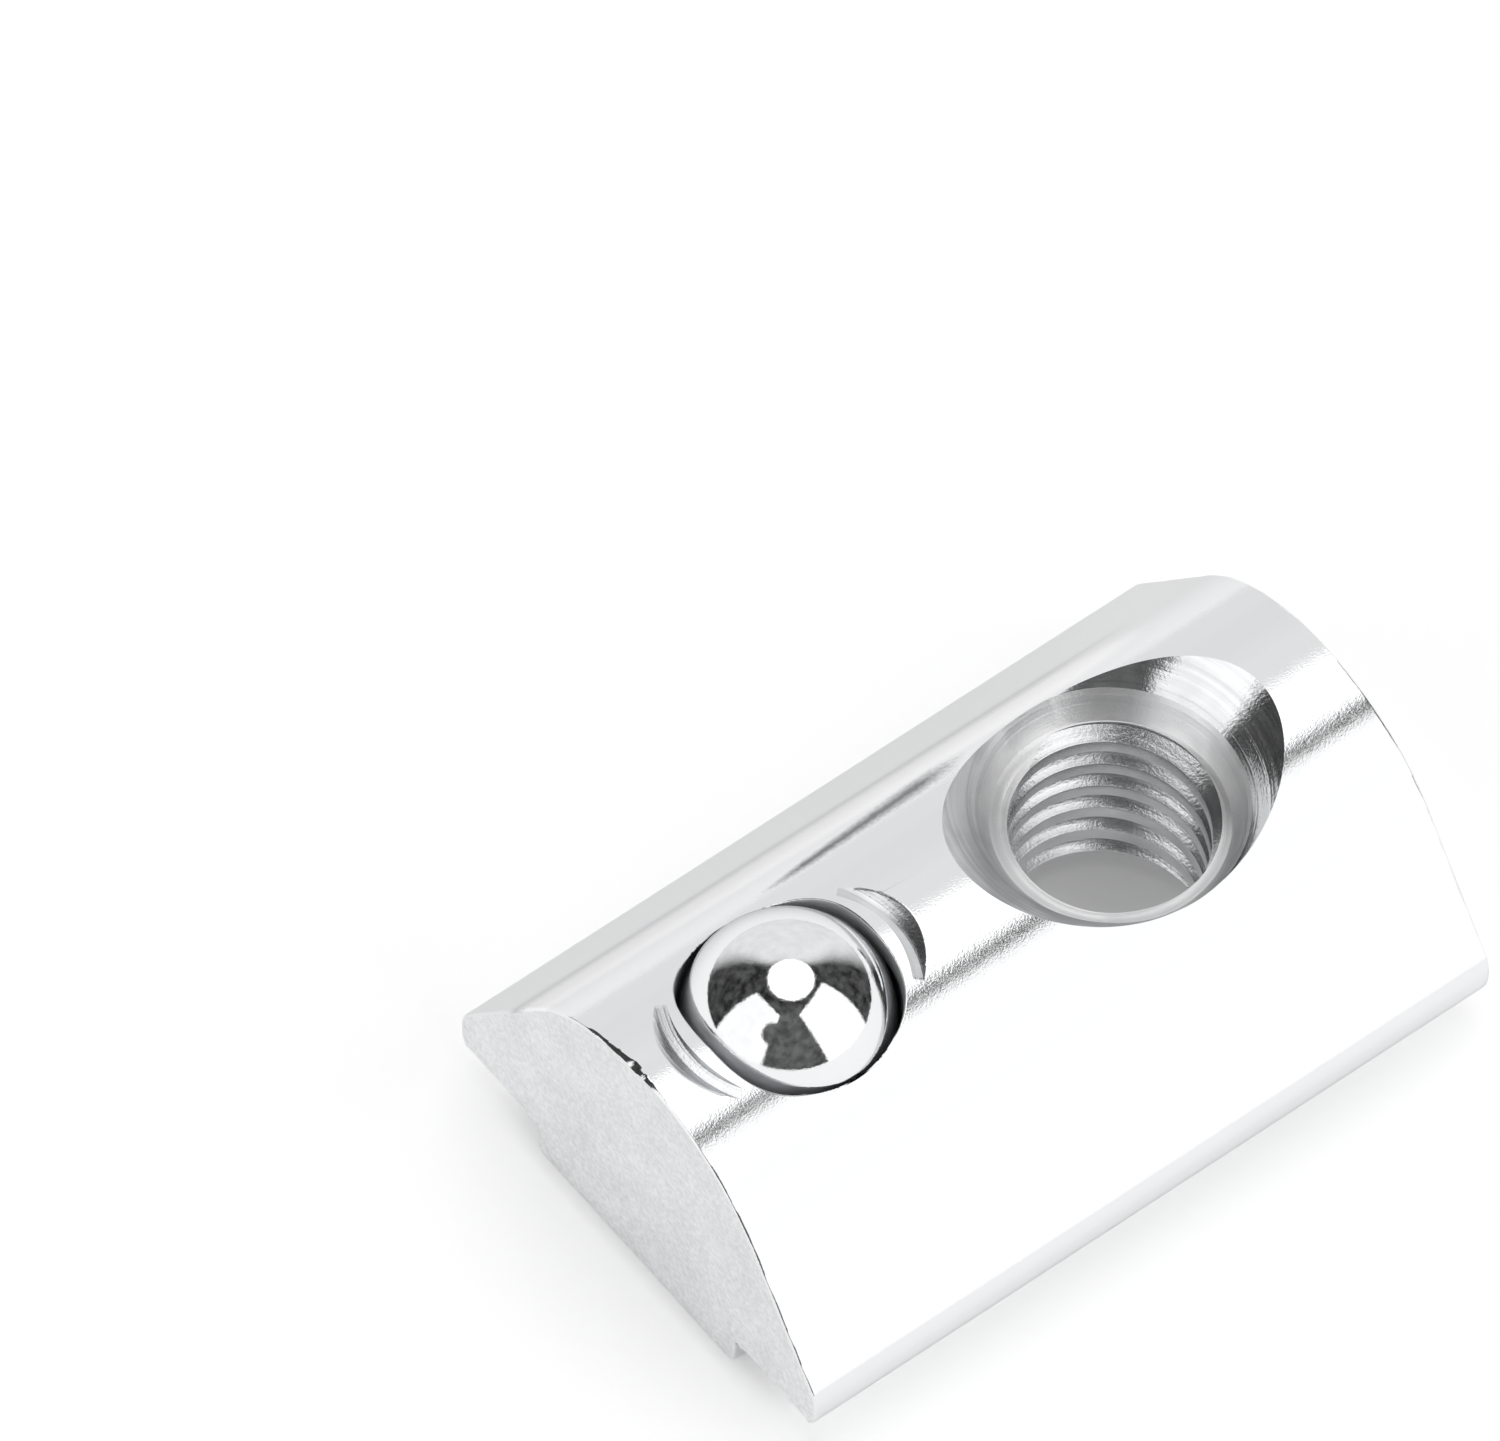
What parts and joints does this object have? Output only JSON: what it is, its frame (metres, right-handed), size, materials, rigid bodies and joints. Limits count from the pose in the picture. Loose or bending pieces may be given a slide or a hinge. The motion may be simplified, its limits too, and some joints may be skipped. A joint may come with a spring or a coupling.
{
  "type": "t slot nut",
  "caption": "Half-round roll-in steel nut for a T-slot rail, with a threaded hole and a spring-loaded ball that holds it in place.",
  "frame": {"origin": "where the axis of the threaded hole crosses the flat face of the neck", "axes": "+X along the nut from the ball's end to the hole's end, +Z from the neck face to the round back"},
  "size_m": [0.0215, 0.0142, 0.0095],
  "materials": {
    "plated_steel": "bright zinc plate",
    "bearing_steel": "polished",
    "spring_steel": "drawn wire"
  },
  "bodies": {
    "nut": {"nut_body": "plated_steel", "spring": "spring_steel"},
    "ball": {"ball": "bearing_steel"}
  },
  "joints": [
    {"name": "ball_press", "type": "slide", "parent": "nut", "child": "ball", "axis": [0, 0, -1], "range_m": [0, 0.0014], "stiffness_N_per_m": 900, "deforming": ["spring"]}
  ]
}
